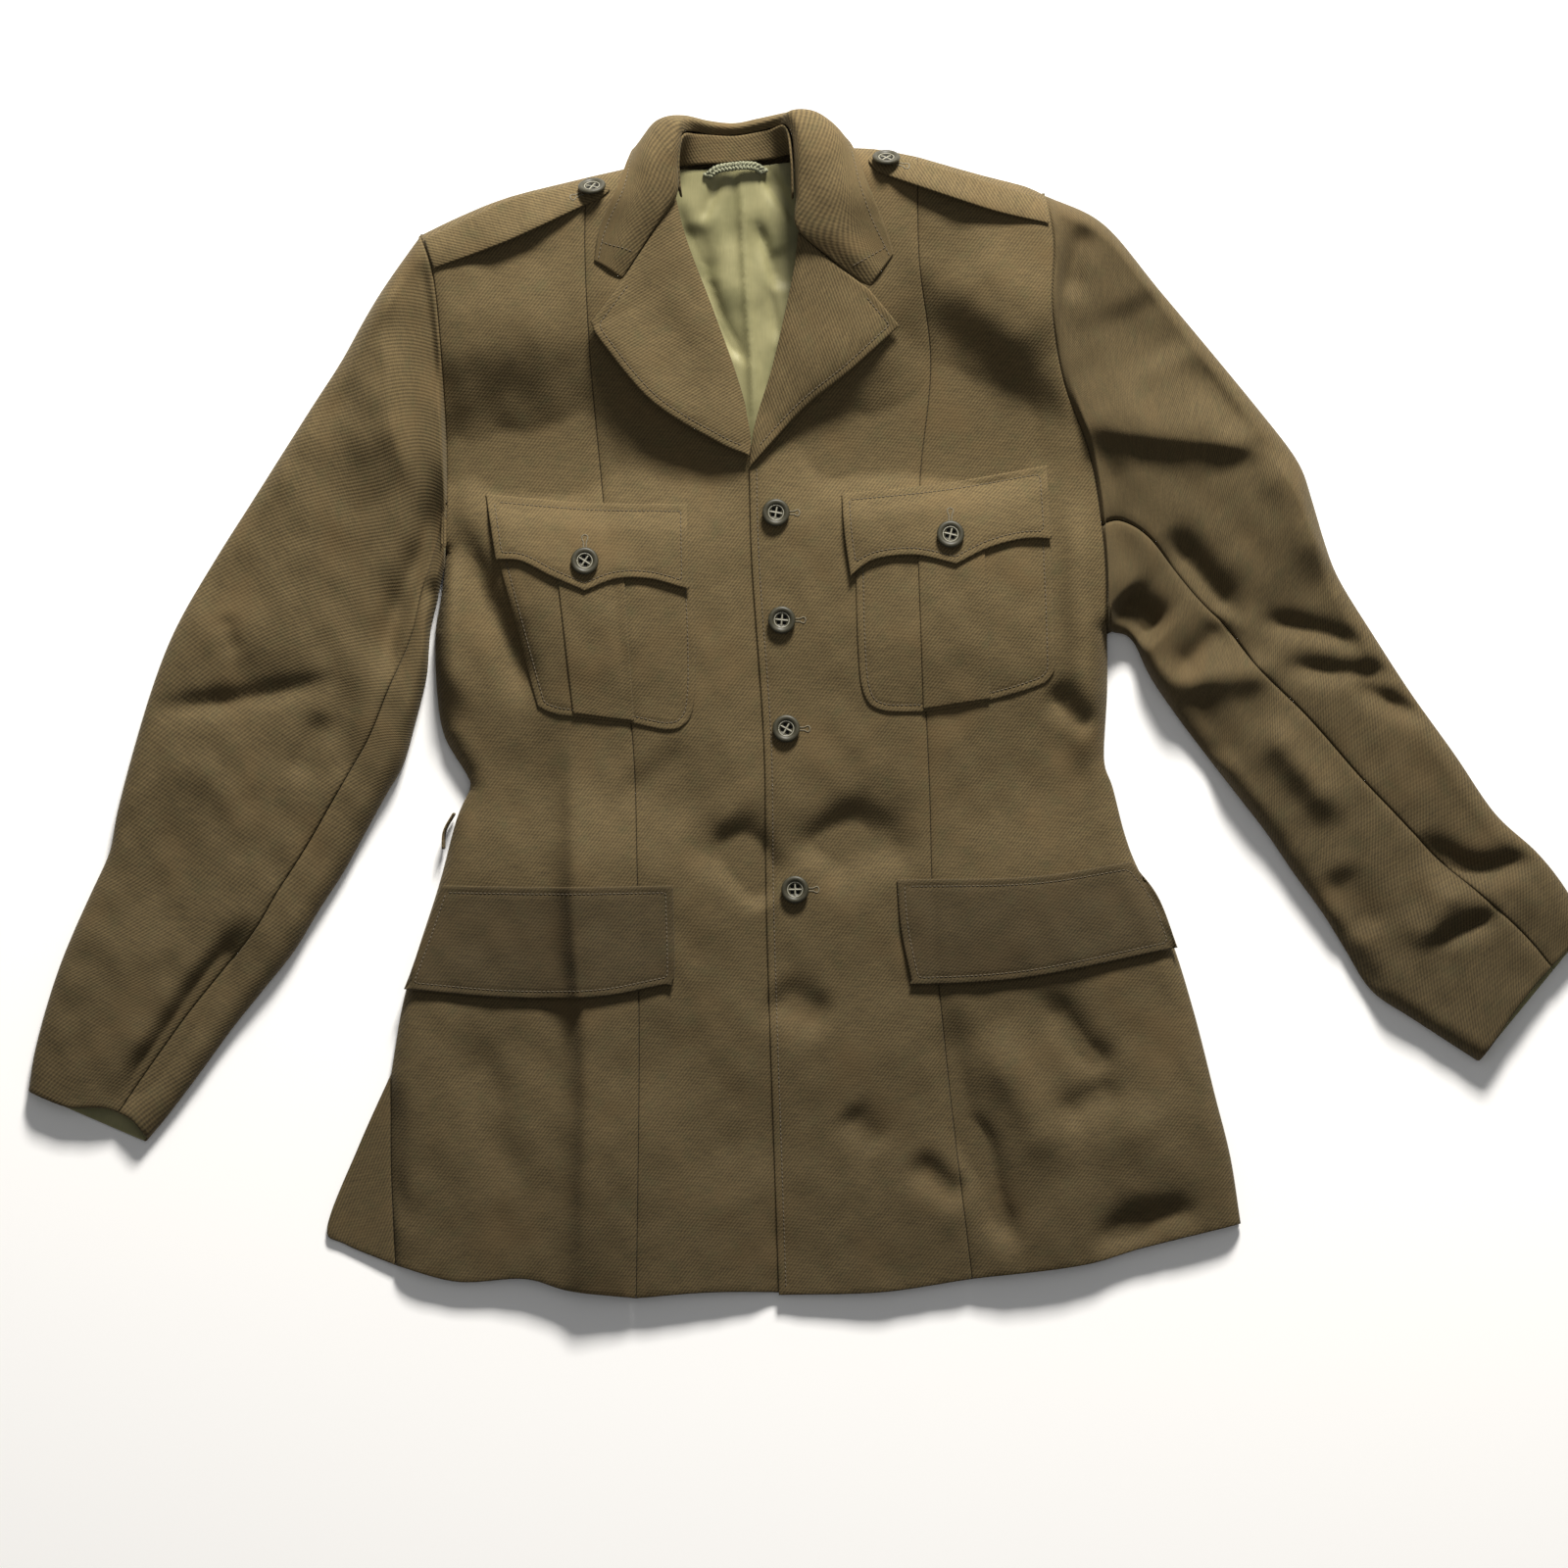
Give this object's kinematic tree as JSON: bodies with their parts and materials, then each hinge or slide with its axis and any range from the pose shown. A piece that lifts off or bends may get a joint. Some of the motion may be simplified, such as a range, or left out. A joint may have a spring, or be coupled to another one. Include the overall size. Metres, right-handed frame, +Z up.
{
  "type": "military jacket",
  "caption": "Service dress jacket of brown wool twill, laid flat and buttoned, with notched lapels, patch chest pockets, hip flaps and shoulder straps.",
  "frame": {"origin": "on the surface that the jacket lies on, under the middle of its outline", "axes": "+X to the garment's left sleeve as seen from the front, +Y from the hem to the collar, +Z up from the surface"},
  "size_m": [1.048, 0.7987, 0.044],
  "materials": {
    "cloth": "khaki-brown wool twill with a fine diagonal rib, matt",
    "lining": "olive satin lining with a soft sheen",
    "button": "dark olive moulded plastic, half matt",
    "braid": "dark braided cord"
  },
  "bodies": {
    "root": {"front_left": "cloth", "side_front_left": "cloth", "front_right": "cloth", "side_front_right": "cloth", "side_back_left": "cloth", "back": "cloth", "lining_back": "lining", "collar": "cloth", "collar_stand": "cloth", "lapel_left": "cloth", "lapel_right": "cloth", "chest_pocket_left": "cloth", "chest_pocket_right": "cloth", "pocket_pleat_left": "cloth", "pocket_pleat_right": "cloth", "chest_flap_left": "cloth", "chest_flap_right": "cloth", "hip_flap_left": "cloth", "hip_flap_right": "cloth", "strap_left": "cloth", "strap_right": "cloth", "sleeve_top_left": "cloth", "sleeve_under_left": "cloth", "sleeve_top_right": "cloth", "sleeve_under_right": "cloth", "button_front_1": "button", "button_front_2": "button", "button_front_3": "button", "button_front_4": "button", "button_chest_left": "button", "button_chest_right": "button", "button_strap_left": "button", "button_strap_right": "button", "hanger_loop": "braid", "belt_loop_left": "cloth"}
  },
  "joints": []
}
